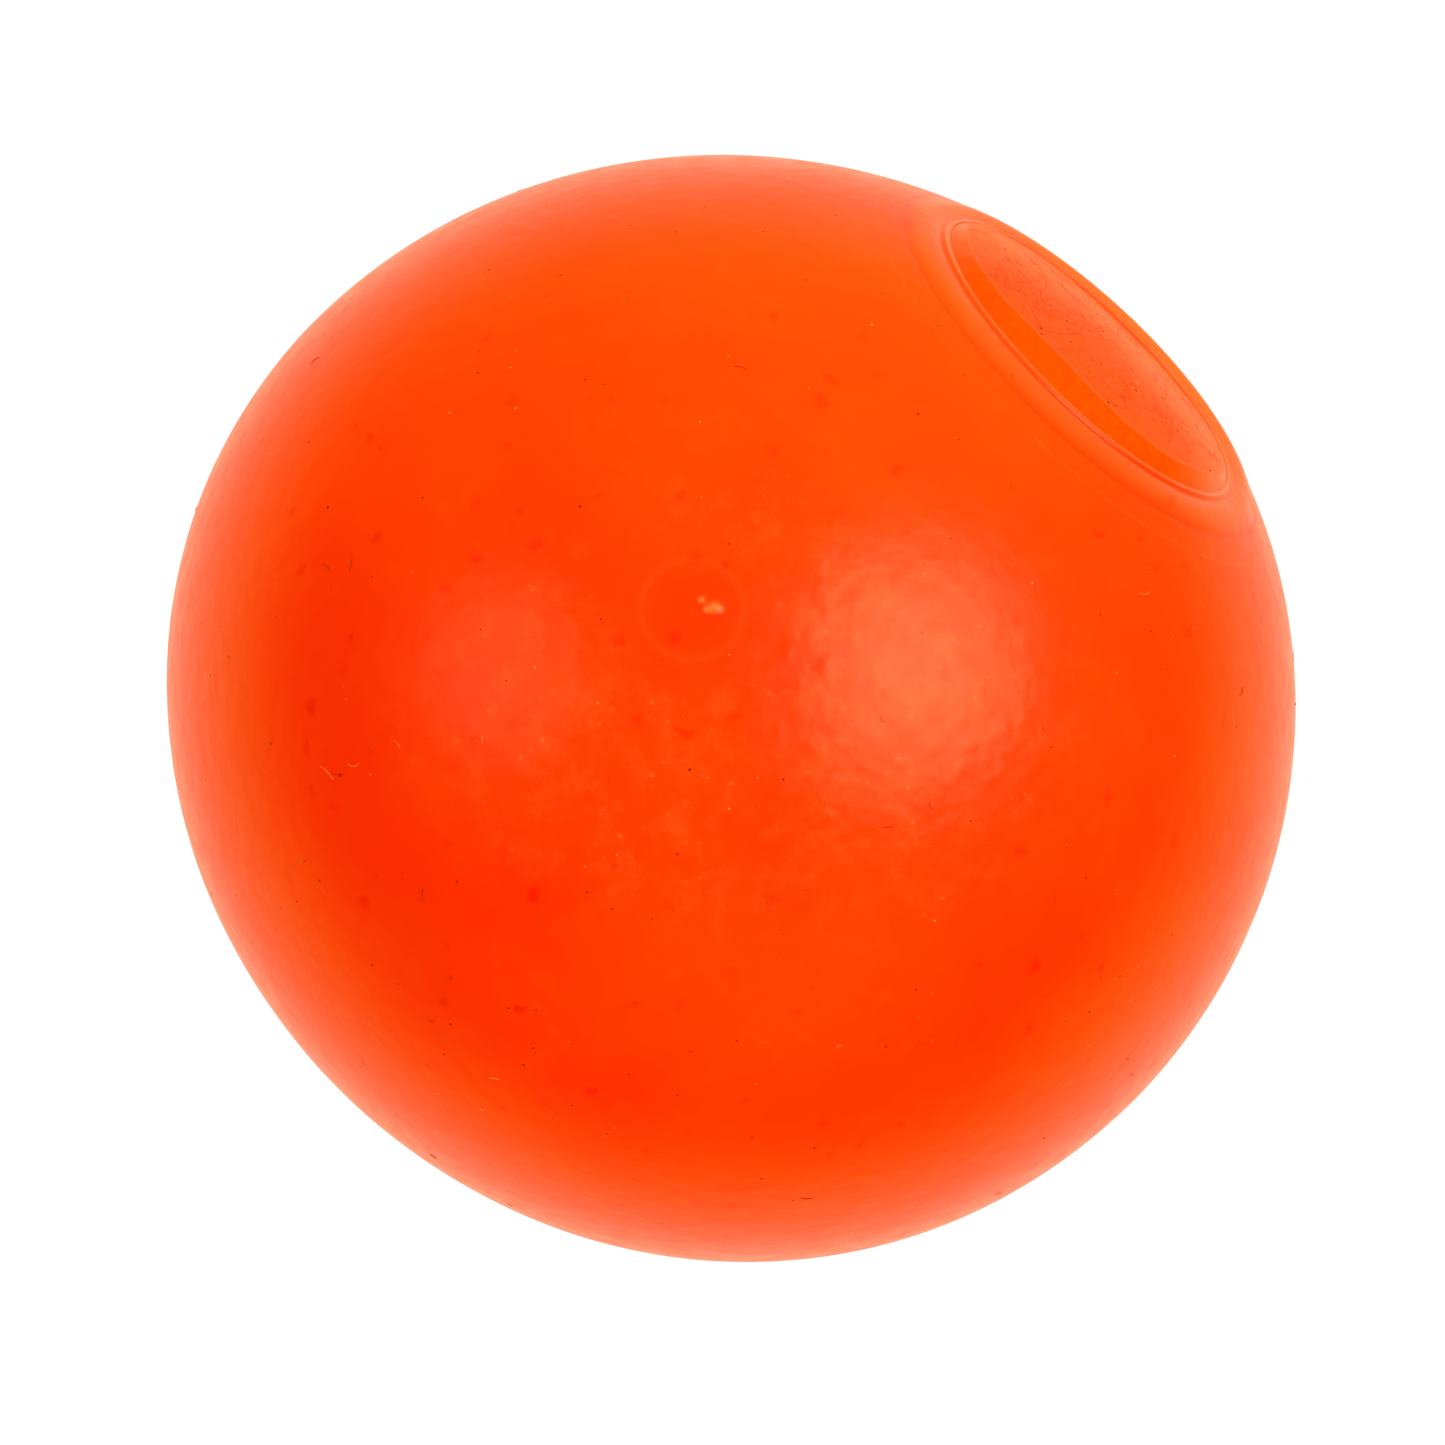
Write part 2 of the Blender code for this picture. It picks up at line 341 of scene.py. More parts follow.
def skin_profile():
    """Profile of the hollow skin, from the outer far pole round the neck to the inner far pole."""
    lip_in = LIP_ANGLE - 0.35 * MM / BALL_RADIUS
    fine_end = WITNESS_ANGLE + 0.4 * MM / BALL_RADIUS
    fine_steps = int((fine_end - lip_in) * BALL_RADIUS / FINE_RING_STEP)
    far_steps = int((math.pi - fine_end) / FAR_RING_STEP)
    far = np.linspace(math.pi, fine_end, far_steps, endpoint=False)
    angles = np.concatenate([far, np.linspace(fine_end, lip_in, fine_steps)])
    radii = BALL_RADIUS + collar_relief(angles)
    outside = list(zip(radii * np.sin(angles), radii * np.cos(angles)))
    outside[0] = (0.0, -BALL_RADIUS)
    neck = [
        (MOUTH_RADIUS + 0.12 * MM, LIP_HEIGHT - 0.25 * MM),
        (MOUTH_RADIUS, LIP_HEIGHT - 0.45 * MM),
        (MOUTH_RADIUS, SEAT_HEIGHT + NECK_BEVEL),
        (MOUTH_RADIUS - NECK_BEVEL, SEAT_HEIGHT),
        (HOLE_RADIUS + NECK_BEVEL, SEAT_HEIGHT),
        (HOLE_RADIUS, SEAT_HEIGHT - NECK_BEVEL),
        (HOLE_RADIUS, BOSS_HEIGHT + NECK_BEVEL),
        (HOLE_RADIUS + NECK_BEVEL, BOSS_HEIGHT),
        (BOSS_RADIUS - BOSS_BEVEL, BOSS_HEIGHT),
        (BOSS_RADIUS, BOSS_HEIGHT + BOSS_BEVEL),
    ]
    inner_radius = BALL_RADIUS - WALL
    inner_start = math.asin((BOSS_RADIUS + BOSS_DRAFT) / inner_radius)
    inside = arc(inner_radius, inner_start, math.pi, INNER_RINGS)
    inside[-1] = (0.0, -inner_radius)
    return outside + neck + inside


def refine_gate(shape):
    """Splits the faces round the gate mark, so that its thin ring has points to stand on."""
    spot = np.array(GATE_AXIS) * BALL_RADIUS
    near = {
        vert for vert in shape.verts
        if np.linalg.norm(np.array(vert.co) - spot) < GATE_REACH
    }
    edges = [edge for edge in shape.edges if edge.verts[0] in near and edge.verts[1] in near]
    bmesh.ops.subdivide_edges(shape, edges=edges, cuts=GATE_CUTS, use_grid_fill=True)


def round_gate(points):
    """For each point: its distance from the gate's middle, from each nub, and whether it is near."""
    side = VIEW_UP.cross(GATE_AXIS).normalized()
    above = GATE_AXIS.cross(side)
    x = points @ np.array(side)
    y = points @ np.array(above)
    distance = np.hypot(x, y)
    from_nubs = [np.hypot(x - nub_x * MM, y - nub_y * MM) for nub_x, nub_y, _, _ in GATE_NUBS]
    near = (points @ np.array(GATE_AXIS) > 0) & (distance < 3 * GATE_RING_RADIUS)
    return distance, from_nubs, near


def gate_relief(points):
    """Height of the gate mark: a faint raised ring, a shallow dish and the torn nubs in it."""
    distance, from_nubs, near = round_gate(points)
    ring = bump(distance - GATE_RING_RADIUS, 0.010 * MM, 0.40 * MM)
    dish = -0.030 * MM * ease((GATE_RING_RADIUS + 0.3 * MM - distance) / (2.2 * MM))
    relief = ring + dish
    for from_nub, (_, _, radius, height) in zip(from_nubs, GATE_NUBS):
        relief += bump(from_nub, height * MM, radius * MM)
    return np.where(near, relief, 0)


def gate_shade(points):
    """How much paler or, with a negative value, redder the rubber is painted at the gate mark: painted
    highlights on its raised ring and torn nubs, painted shade in its dish.
    """
    distance, from_nubs, near = round_gate(points)
    # Painted highlight on the raised ring, and painted shade in the dish.
    dish = ease((GATE_RING_RADIUS - distance) / (1.5 * MM))
    shade = bump(distance - GATE_RING_RADIUS, 0.07, 0.25 * MM) - 0.20 * dish
    # A painted highlight on each torn nub.
    for from_nub, (_, _, radius, _) in zip(from_nubs, GATE_NUBS):
        shade += bump(from_nub, 1.2, radius * MM)
    return np.where(near, shade, 0)


def build_skin(material):
    """Hollow skin with its collar, gate mark and the faint unevenness of soft rubber."""
    rings = sunk(turned(skin_profile(), SKIN_STEPS)) @ TO_STOPPER.T
    shape = ring_mesh(rings)
    refine_gate(shape)
    points = coordinates(shape)
    outside = np.linalg.norm(points, axis=1) > BALL_RADIUS - 0.35 * MM
    directions = unit(points)
    # The split faces are flat, so the points round the gate are put back on the ball.
    split = outside & (directions @ np.array(GATE_AXIS) > 0.95)
    points[split] = directions[split] * BALL_RADIUS
    waves = (
        0.035 * MM * fractal(points, 14 * MM, 2)
        + 0.005 * MM * fractal(points, 3.0 * MM, 2, 7.3)
    )
    relief = np.where(outside, waves + gate_relief(points), 0)
    move_to(shape, settled(points + directions * relief[:, None]))
    piece = finished("skin_shell", shape, material, 50)
    # Painted highlights and painted shade of the collar's rings and the gate mark, for the material to read
    store(piece, "shade", ring_shade(points) + gate_shade(points))
    return piece


# ---------------------------------------------------------------- stopper, glue and filling

INSIDE_STEPS = 160
CORE_RINGS = 90


def rounded(corners, radius, steps=4):
    """Profile through corners, with each inner corner replaced by a small curve."""
    points = [corners[0]]
    for before, corner, after in zip(corners, corners[1:], corners[2:]):
        before, corner, after = (np.array(point) for point in (before, corner, after))
        reach = min(radius, np.linalg.norm(before - corner) / 2.2, np.linalg.norm(after - corner) / 2.2)
        start = corner + (before - corner) / np.linalg.norm(before - corner) * reach
        end = corner + (after - corner) / np.linalg.norm(after - corner) * reach
        for share in np.linspace(0, 1, steps):
            rest = 1 - share
            points.append(tuple(rest ** 2 * start + 2 * share * rest * corner + share ** 2 * end))
    points.append(corners[-1])
    return points


def solid_of(name, profile, material, wave_height, wave_size):
    """Turned solid with slightly uneven surfaces, in the ball's resting shape."""
    shape = ring_mesh(turned(profile, INSIDE_STEPS) @ TO_STOPPER.T)
    points = coordinates(shape)
    waves = wave_height * fractal(points, wave_size, 3)
    move_to(shape, settled(points + unit(points) * waves[:, None]))
    return finished(name, shape, material)


def build_stopper(material):
    """Stopper with a domed head on the seat, a stem and a tapered inner flange."""
    head_floor = SEAT_HEIGHT + GAP
    flange_top = BOSS_HEIGHT - GAP
    corners = [
        (0.0, head_floor + 1.0 * MM),
        (HEAD_RADIUS * 0.5, head_floor + 0.95 * MM),
        (HEAD_RADIUS, head_floor + 0.8 * MM),
        (HEAD_RADIUS, head_floor),
        (HOLE_RADIUS - GAP, head_floor),
        (HOLE_RADIUS - GAP, flange_top),
        (FLANGE_RADIUS, flange_top),
        (FLANGE_RADIUS - FLANGE_TAPER, flange_top - FLANGE_THICKNESS),
        (0.0, flange_top - FLANGE_THICKNESS),
    ]
    return solid_of("stopper_plug", rounded(corners, 0.35 * MM), material, 0.01 * MM, 3 * MM)


def build_filling(material):
    """Dough core, hollowed round the boss and the stopper's flange."""
    pocket = BOSS_HEIGHT - GAP - FLANGE_THICKNESS - GAP
    core_radius = BALL_RADIUS - WALL - GAP
    start = math.asin((BOSS_RADIUS + BOSS_DRAFT + GAP) / core_radius)
    outside = arc(core_radius, math.pi, start, CORE_RINGS)
    outside[0] = (0.0, -core_radius)
    top = rounded([
        outside[-1],
        (BOSS_RADIUS + GAP, BOSS_HEIGHT - GAP),
        (FLANGE_RADIUS + GAP, BOSS_HEIGHT - GAP),
        (FLANGE_RADIUS + GAP, pocket),
        (0.0, pocket),
    ], 0.5 * MM)
    return solid_of("dough_core", outside + top[1:], material, 0.05 * MM, 5 * MM)


GLUE_STEPS = 448
GLUE_RINGS = 150
GLUE_GAP = 0.2 * MM

# Drying lines: how many cells to the mm, and how wide the lines are as a share of a cell
DRYING_CELLS = ((0.44, 0.030), (0.85, 0.045))
DRYING_DEPTH = 0.040 * MM


def film_edge(turn):
    """Radius of the film's wavy edge, where the glue has crept up towards the viewer's side."""
    dent = FILM_DENT * np.exp(-(((turn + 0.10) / math.radians(25)) ** 2))
    dent = dent + FILM_NARROWING * (1 + np.cos(turn)) / 2
    wave = 0.10 * MM * np.sin(3 * turn + 0.6) + 0.07 * MM * np.sin(7 * turn + 2.0)
    ripple = 0.04 * MM * np.sin(17 * turn) + 0.03 * MM * np.sin(29 * turn + 1.0)
    return FILM_FAR_EDGE - dent + 0.7 * wave + 0.7 * ripple


def crackle(x, y):
    """Strength from 0 to 1 of the glue's drying lines: edges of warped cells, some of them missing."""
    lines = np.zeros(len(x))
    for index, (across, along) in enumerate(zip(x / MM, y / MM)):
        spot = Vector((across * 0.5, along, 0.0))
        warp = noise.noise_vector(spot * 0.40) * 1.1 + noise.noise_vector(spot * 1.3) * 0.30
        for cells, width in DRYING_CELLS:
            near, second = noise.voronoi((spot + warp) * cells)[0][:2]
            line = math.exp(-(((second - near) / width) ** 2))
            keep = noise.noise(spot * 0.45 + Vector((3.1, 8.2, 9.0 * cells)))
            lines[index] = max(lines[index], line * min(max(keep * 4.0 + 0.6, 0.0), 1.0))
    return lines


def glue_top(x, y):
    """Height of the glue over the ball's centre, and masks of its crackle, film, painted edge highlight and
    painted glare.
    """
    offset = np.hypot(x, y)
    turn = np.arctan2(y, x)
    edge = film_edge(turn)
    rim_height = LIP_HEIGHT - 0.02 * MM - LIP_SINK * (1 - np.cos(turn)) / 2
    dome = FILM_HEIGHT + FILM_TILT * x - FILM_CURVE * offset ** 2 / 2
    edge_height = FILM_HEIGHT + FILM_TILT * edge * np.cos(turn) - FILM_CURVE * edge ** 2 / 2
    share = np.clip((offset - edge) / (GLUE_RIM - edge), 0, 1)
    rise = share ** (1.5 - 0.5 * np.cos(turn))
    slope = edge_height + (rim_height - edge_height) * rise
    height = np.where(offset < edge, dome, slope)
    inside = ease((edge - offset) / (0.5 * MM))
    lines = crackle(x, y) * inside
    height += bump(offset - edge, 0.055 * MM, 0.10 * MM)
    height -= DRYING_DEPTH * lines
    film = ease(0.5 + (edge - offset) / (0.3 * MM))
    # Painted glare: the film is painted paler away from the viewer's side, a painted reflection.
    from_near = np.hypot(x - 0.30 * BALL_RADIUS, y)
    painted_glare = ease((from_near - 0.24 * BALL_RADIUS) / (0.28 * BALL_RADIUS))
    # Painted highlight: a pale line along the film's edge, strongest towards the viewer.
    meniscus_highlight = bump(offset - edge, 1.0, 0.07 * MM) * ease(0.3 + np.cos(turn))
    return height, {"crackle": lines, "film": film, "edge": meniscus_highlight, "painted_glare": painted_glare}


def build_glue(material):
    """Glue as one closed body: wrinkled film, slope up to the lip, and the ring in the groove."""
    offsets = np.linspace(0, GLUE_RIM, GLUE_RINGS)
    turns = np.linspace(0, math.tau, GLUE_STEPS, endpoint=False)
    x = np.outer(offsets, np.cos(turns))
    y = np.outer(offsets, np.sin(turns))
    height, masks = glue_top(x.ravel(), y.ravel())
    top = np.stack([x.ravel(), y.ravel(), height], axis=1)
    waves = fractal(top, 1.1 * MM, 3) * 0.012 * MM + fractal(top, 4 * MM, 2, 4.0) * 0.035 * MM
    top[:, 2] += waves
    top = top.reshape(GLUE_RINGS, GLUE_STEPS, 3)
    top[0] = top[0].mean(axis=0)
    head_floor = SEAT_HEIGHT + GAP
    head_top = head_floor + 1.0 * MM
    under = turned([
        (GLUE_RIM - 0.02 * MM, LIP_HEIGHT - 0.3 * MM),
        (MOUTH_RADIUS - GLUE_GAP, LIP_HEIGHT - 0.6 * MM),
        (MOUTH_RADIUS - GLUE_GAP, head_floor),
        (HEAD_RADIUS + GLUE_GAP, head_floor),
        (HEAD_RADIUS + GLUE_GAP, head_top - 0.1 * MM),
        (HEAD_RADIUS * 0.5, head_top + 0.05 * MM),
        (0.0, head_top + 0.1 * MM),
    ], GLUE_STEPS)
    shape = ring_mesh(np.concatenate([top, sunk(under)]) @ TO_STOPPER.T)
    move_to(shape, settled(coordinates(shape)))
    piece = finished("glue_film", shape, material, 60)
    # The middle of the film is one point, and the points below the film keep zero.
    for name, mask in masks.items():
        values = np.zeros(len(piece.data.vertices))
        values[:mask.size - GLUE_STEPS + 1] = mask[GLUE_STEPS - 1:]
        store(piece, name, values)
    return piece


# ---------------------------------------------------------------- lint

FIBRE_STEPS = 12
FIBRE_SIDES = 6


def surface_point(direction):
    """Point of the resting ball's outside in a direction from its centre, away from the mouth."""
    return settled(np.array([direction.normalized() * BALL_RADIUS]))[0]


def add_tube(shape, spine, radius):
    """Thin closed tube along a spine of points, narrower at both ends."""
    last = len(spine) - 1
    rings = []
    for index, point in enumerate(spine):
        ahead = (spine[min(index + 1, last)] - spine[max(index - 1, 0)]).normalized()
        side = ahead.orthogonal().normalized()
        above = ahead.cross(side)
        taper = radius * (1 - 0.5 * abs(2 * index / last - 1) ** 3)
        ring = []
        for corner in range(FIBRE_SIDES):
            turn = math.tau * corner / FIBRE_SIDES
            ring.append(shape.verts.new(point + (side * math.cos(turn) + above * math.sin(turn)) * taper))
        rings.append(ring)
    for ring, following in zip(rings, rings[1:]):
        for corner in range(FIBRE_SIDES):
            after = (corner + 1) % FIBRE_SIDES
            shape.faces.new((ring[corner], ring[after], following[after], following[corner]))
    shape.faces.new(reversed(rings[0]))
    shape.faces.new(rings[-1])


def add_fibre(shape, chance, length, radius):
    """One short curled fibre lying on the skin, unless it would fall on the mouth or underneath."""
    direction = Vector(chance.normal(size=3)).normalized()
    if direction.angle(STOPPER_AXIS) < WITNESS_ANGLE * 1.05 or direction.z < -0.8:
        return
    heading = direction.orthogonal().normalized()
    heading.rotate(Matrix.Rotation(chance.uniform(0, math.tau), 3, direction))
    curl = chance.normal(0, 0.9)
    lift = chance.uniform(0.0, 0.12) * length
    spine = []
    for step in range(FIBRE_STEPS + 1):
        share = step / FIBRE_STEPS
        height = radius * 0.8 + lift * share ** 3
        spine.append(Vector(surface_point(direction)) + direction * height)
        heading.rotate(Matrix.Rotation(curl * 2 / FIBRE_STEPS * (0.4 + share), 3, direction))
        direction = (direction + heading * length / FIBRE_STEPS / BALL_RADIUS).normalized()
        heading = (heading - direction * heading.dot(direction)).normalized()
    add_tube(shape, spine, radius)


def build_lint(name, count, seed, radius, material):
    """Fibres of household lint that cling to the slightly tacky skin."""
    chance = np.random.default_rng(seed)
    shape = bmesh.new()
    for _ in range(count):
        add_fibre(shape, chance, chance.uniform(0.25, 1.1) * MM, radius * chance.uniform(0.6, 1.1))
    bmesh.ops.recalc_face_normals(shape, faces=shape.faces[:])
    return finished(name, shape, material)


# ---------------------------------------------------------------- materials

def node(tree, kind, inputs=None, **settings):
    """Adds a node. An input given as a socket is linked, and any other value is set."""
    made = tree.nodes.new(kind)
    for key, value in settings.items():
        setattr(made, key, value)
    for key, value in (inputs or {}).items():
        if isinstance(value, bpy.types.NodeSocket):
            tree.links.new(value, made.inputs[key])
        else:
            made.inputs[key].default_value = value
    return made


def calc(tree, operation, first, second=0.0):
    """Output of a Math node."""
    return node(tree, "ShaderNodeMath", {0: first, 1: second}, operation=operation).outputs[0]


def vector_calc(tree, operation, first, second):
    """Vector output of a Vector Math node."""
    return node(tree, "ShaderNodeVectorMath", {0: first, 1: second}, operation=operation).outputs[0]


def remap(tree, value, low, high, to_low=0.0, to_high=1.0):
    """Output of a smooth Map Range node."""
    inputs = {"Value": value, "From Min": low, "From Max": high, "To Min": to_low, "To Max": to_high}
    return node(tree, "ShaderNodeMapRange", inputs, interpolation_type="SMOOTHSTEP").outputs["Result"]


def noise_of(tree, vector, scale, detail=3.0, roughness=0.5):
    """Factor of a Noise Texture node."""
    inputs = {"Vector": vector, "Scale": scale, "Detail": detail, "Roughness": roughness}
    return node(tree, "ShaderNodeTexNoise", inputs).outputs["Fac"]


def blend(tree, factor, first, second):
    """Output of a Mix node for colours, whose colour sockets are the inputs 6 and 7 and the output 2."""
    return node(tree, "ShaderNodeMix", {0: factor, 6: first, 7: second}, data_type="RGBA").outputs[2]


def tinted(tree, color, mask, strength, tint):
    """A colour mixed with a tint by a mask times a strength from 0 to 1."""
    return blend(tree, calc(tree, "MULTIPLY", mask, strength), color, tint)


def stored(tree, name):
    """Value kept under a name at the piece's points."""
    return node(tree, "ShaderNodeAttribute", attribute_name=name).outputs["Fac"]


def millimetres(tree):
    """Object coordinates in millimetres."""
    place = node(tree, "ShaderNodeTexCoord").outputs["Object"]
    return vector_calc(tree, "MULTIPLY", place, (1 / MM,) * 3)


def spots(tree, vector, cell, radius, share, blur, offset, warp=0.0):
    """Mask of round spots: one in some cells of a grid, with a radius and soft edge in cells."""
    moved = vector_calc(tree, "ADD", vector, (offset, offset * 1.7, offset * 0.6))
    if warp:
        wobble = node(tree, "ShaderNodeTexNoise", {"Vector": moved, "Scale": 2.2 / cell, "Detail": 2.0})
        shift = vector_calc(tree, "MULTIPLY", wobble.outputs["Color"], (warp * cell,) * 3)
        moved = vector_calc(tree, "ADD", moved, shift)
    cells = node(tree, "ShaderNodeTexVoronoi", {"Vector": moved, "Scale": 1 / cell, "Randomness": 1.0})
    chance = node(tree, "ShaderNodeSeparateColor", {"Color": cells.outputs["Color"]})
    chosen = calc(tree, "LESS_THAN", chance.outputs[0], share)
    size = calc(tree, "MULTIPLY_ADD", chance.outputs[1], radius * 0.7)
    size.node.inputs[2].default_value = radius * 0.5
    depth = calc(tree, "SUBTRACT", size, cells.outputs["Distance"])
    return calc(tree, "MULTIPLY", chosen, remap(tree, depth, -blur, blur))


def new_material(name):
    """Material with a Principled shader, its node tree and that shader."""
    material = bpy.data.materials.new(name)
    material.use_nodes = True
    tree = material.node_tree
    return material, tree, tree.nodes["Principled BSDF"]


def set_inputs(shader, **values):
    """Sets constants on a shader's own sockets, by names with _ for spaces."""
    for key, value in values.items():
        shader.inputs[key.replace("_", " ")].default_value = value


def surface(tree, shader, color, roughness):
    """Links a colour and a roughness to a shader."""
    tree.links.new(color, shader.inputs["Base Color"])
    tree.links.new(roughness, shader.inputs["Roughness"])


def roughen(tree, shader, height, strength, distance):
    """Gives a shader fine relief by a Bump node."""
    bumps = node(tree, "ShaderNodeBump", {"Height": height, "Strength": strength, "Distance": distance})
    tree.links.new(bumps.outputs["Normal"], shader.inputs["Normal"])


def gate_frame(tree, vector):
    """Distance from the gate in mm, and the direction round it as a vector."""
    spot = surface_point(GATE_AXIS) / MM
    from_gate = vector_calc(tree, "SUBTRACT", vector, tuple(spot))
    distance = node(tree, "ShaderNodeVectorMath", {0: from_gate}, operation="LENGTH").outputs["Value"]
    direction = node(tree, "ShaderNodeVectorMath", {0: from_gate}, operation="NORMALIZE").outputs[0]
    return distance, direction


# Colours of the skin and of what lies on it, and of the light and shade painted on it
DEEP_ORANGE = (1.0, 0.027, 0.0, 1)
LIGHT_ORANGE = (1.0, 0.034, 0.0, 1)
HAZE = (1.0, 0.085, 0.004, 1)
# Painted sheen, and the painted glints in it
PAINTED_SHEEN = (1.0, 0.12, 0.04, 1)
SHEEN_GLINT = (1.0, 0.20, 0.09, 1)
# Painted highlight and painted shade, for the collar's rings, the gate mark and the glue's edge
PAINTED_HIGHLIGHT = (1.0, 0.16, 0.07, 1)
PAINTED_SHADE = (0.90, 0.004, 0.0, 1)
SMUDGE = (0.90, 0.001, 0.0, 1)
SPECK = (0.10, 0.004, 0.001, 1)
DUST = (1.0, 0.42, 0.30, 1)

# Area on the viewer's side that carries the painted sheen and the rippled relief: its middle in mm, how it
# is squashed, and the distances in mm over which it fades
SHEEN_AND_RIPPLE_SPOT = surface_point(RIGHT * 0.05 + TO_VIEWER) / MM
SHEEN_AND_RIPPLE_SHAPE = (0.75, 1.15, 1.15)
SHEEN_AND_RIPPLE_FADE = (9.0, 19.0)


def sheen_and_ripple_mask(tree, place):
    """Mask of the middle of the viewer's side, wider than it is high, for the painted sheen and the rippled
    relief.
    """
    away = vector_calc(tree, "SUBTRACT", place, tuple(SHEEN_AND_RIPPLE_SPOT))
    away = vector_calc(tree, "MULTIPLY", away, SHEEN_AND_RIPPLE_SHAPE)
    distance = node(tree, "ShaderNodeVectorMath", {0: away}, operation="LENGTH").outputs["Value"]
    return remap(tree, distance, *SHEEN_AND_RIPPLE_FADE, 1.0, 0.0)


def skin_material():
    """Fluorescent orange rubber: cloudy, flecked, with flow streaks that spread from the gate."""
    material, tree, shader = new_material("skin_rubber_look")
    place = millimetres(tree)
    distance, direction = gate_frame(tree, place)
    sheen_and_ripple = sheen_and_ripple_mask(tree, place)

    cloud = noise_of(tree, place, 0.11, 2.0, 0.5)
    lumps = noise_of(tree, place, 0.75, 2.0, 0.5)
    ripple = noise_of(tree, place, 0.55, 1.5, 0.5)
    reach = node(tree, "ShaderNodeCombineXYZ", {0: calc(tree, "MULTIPLY", distance, 0.16)}).outputs[0]
    radial = vector_calc(tree, "ADD", vector_calc(tree, "MULTIPLY", direction, (14.0, 14.0, 14.0)), reach)
    streak = noise_of(tree, radial, 1.0, 2.0, 0.6)

    bare = remap(tree, distance, 3.0, 6.0)
    # Painted sheen: a paler mottle on the viewer's side between the highlights, kept off the gate, with
    # painted glints in it
    painted_sheen = calc(tree, "MULTIPLY", remap(tree, noise_of(tree, place, 0.50, 6.0, 0.72), 0.44, 0.72), sheen_and_ripple)
    painted_sheen = calc(tree, "MULTIPLY", painted_sheen, bare)
    sheen_glints = calc(tree, "MULTIPLY", spots(tree, place, 0.6, 0.18, 0.6, 0.07, 41.0), painted_sheen)
    haze = calc(tree, "MULTIPLY", remap(tree, lumps, 0.45, 0.72), remap(tree, cloud, 0.42, 0.66))
    color = blend(tree, remap(tree, cloud, 0.35, 0.68), DEEP_ORANGE, LIGHT_ORANGE)
    color = tinted(tree, color, haze, 0.12, HAZE)
    color = tinted(tree, color, painted_sheen, 0.28, PAINTED_SHEEN)
    color = tinted(tree, color, sheen_glints, 0.65, SHEEN_GLINT)

    # The stored shade: painted highlights on the collar's lip and pad and on the gate's ring and nubs,
    # painted shade in the lip's groove, the collar's foot and the gate's dish
    shade = stored(tree, "shade")
    paler = calc(tree, "MINIMUM", calc(tree, "MAXIMUM", shade, 0.0), 1.0)
    redder = calc(tree, "MAXIMUM", calc(tree, "MULTIPLY", shade, -1.0), 0.0)
    color = blend(tree, paler, color, PAINTED_HIGHLIGHT)
    color = blend(tree, redder, color, PAINTED_SHADE)

    smudge = spots(tree, place, 2.6, 0.13, 0.85, 0.09, 11.0, 0.5)
    color = tinted(tree, color, smudge, 0.65, SMUDGE)
    speck = spots(tree, place, 1.4, 0.055, 0.7, 0.02, 27.0)
    color = tinted(tree, color, speck, 0.85, SPECK)
    dust = spots(tree, place, 1.5, 0.036, 0.6, 0.014, 5.0)
    color = tinted(tree, color, dust, 0.7, DUST)
    surface(tree, shader, color, remap(tree, lumps, 0.3, 0.7, 0.27, 0.20))

    relief = calc(tree, "ADD", calc(tree, "MULTIPLY", lumps, 0.30), calc(tree, "MULTIPLY", streak, 0.04))
    relief = calc(tree, "ADD", relief, calc(tree, "MULTIPLY", calc(tree, "MULTIPLY", ripple, sheen_and_ripple), 0.65))
    roughen(tree, shader, relief, 1.0, 0.13 * MM)
    set_inputs(shader, IOR=1.46, Specular_IOR_Level=0.5, Specular_Tint=SPECULAR_TINT)
    return material


def stopper_material():
    """Rubber of the stopper, a shade paler than the skin's."""
    material, tree, shader = new_material("stopper_rubber_look")
    place = millimetres(tree)
    cloud = noise_of(tree, place, 0.5, 4.0)
    color = blend(tree, remap(tree, cloud, 0.3, 0.7), (1.0, 0.035, 0.0, 1), (1.0, 0.06, 0.003, 1))
    surface(tree, shader, color, remap(tree, cloud, 0.3, 0.7, 0.35, 0.5))
    roughen(tree, shader, noise_of(tree, place, 4.0, 3.0), 0.3, 0.04 * MM)
    return material


def glue_material():
    """Clear adhesive over orange rubber: duller film with dark drying lines and trapped dust, a painted
    highlight along its edge and painted glare on its far part.
    """
    material, tree, shader = new_material("clear_glue_look")
    place = millimetres(tree)
    dull = stored(tree, "film")
    film = noise_of(tree, place, 1.6, 4.0, 0.6)
    patches = remap(tree, film, 0.3, 0.7)
    clear = blend(tree, patches, (1.0, 0.060, 0.0, 1), (1.0, 0.080, 0.0, 1))
    dried = blend(tree, patches, (1.0, 0.060, 0.0, 1), (1.0, 0.084, 0.002, 1))
    color = blend(tree, dull, clear, dried)
    # Painted glare on the far part of the film
    color = blend(tree, stored(tree, "painted_glare"), color, (1.0, 0.165, 0.110, 1))
    # Painted highlight along the film's edge
    color = tinted(tree, color, stored(tree, "edge"), 0.5, PAINTED_HIGHLIGHT)
    color = tinted(tree, color, stored(tree, "crackle"), 0.60, (0.95, 0.018, 0.0, 1))

    dirt = spots(tree, place, 0.6, 0.17, 0.55, 0.04, 3.0)
    color = blend(tree, calc(tree, "MULTIPLY", dirt, dull), color, (0.12, 0.004, 0.001, 1))
    fleck = spots(tree, place, 1.3, 0.09, 0.10, 0.03, 19.0)
    color = tinted(tree, color, fleck, 0.6, (1.0, 0.35, 0.2, 1))
    roughness = calc(tree, "MULTIPLY", dull, remap(tree, film, 0.3, 0.75, 0.18, 0.34))
    surface(tree, shader, color, calc(tree, "ADD", roughness, 0.22))

    fine = calc(tree, "MULTIPLY", noise_of(tree, place, 3.0, 3.0, 0.6), dull)
    roughen(tree, shader, fine, 0.5, 0.06 * MM)
    set_inputs(shader, IOR=1.30, Specular_IOR_Level=0.15, Specular_Tint=SPECULAR_TINT)
    return material


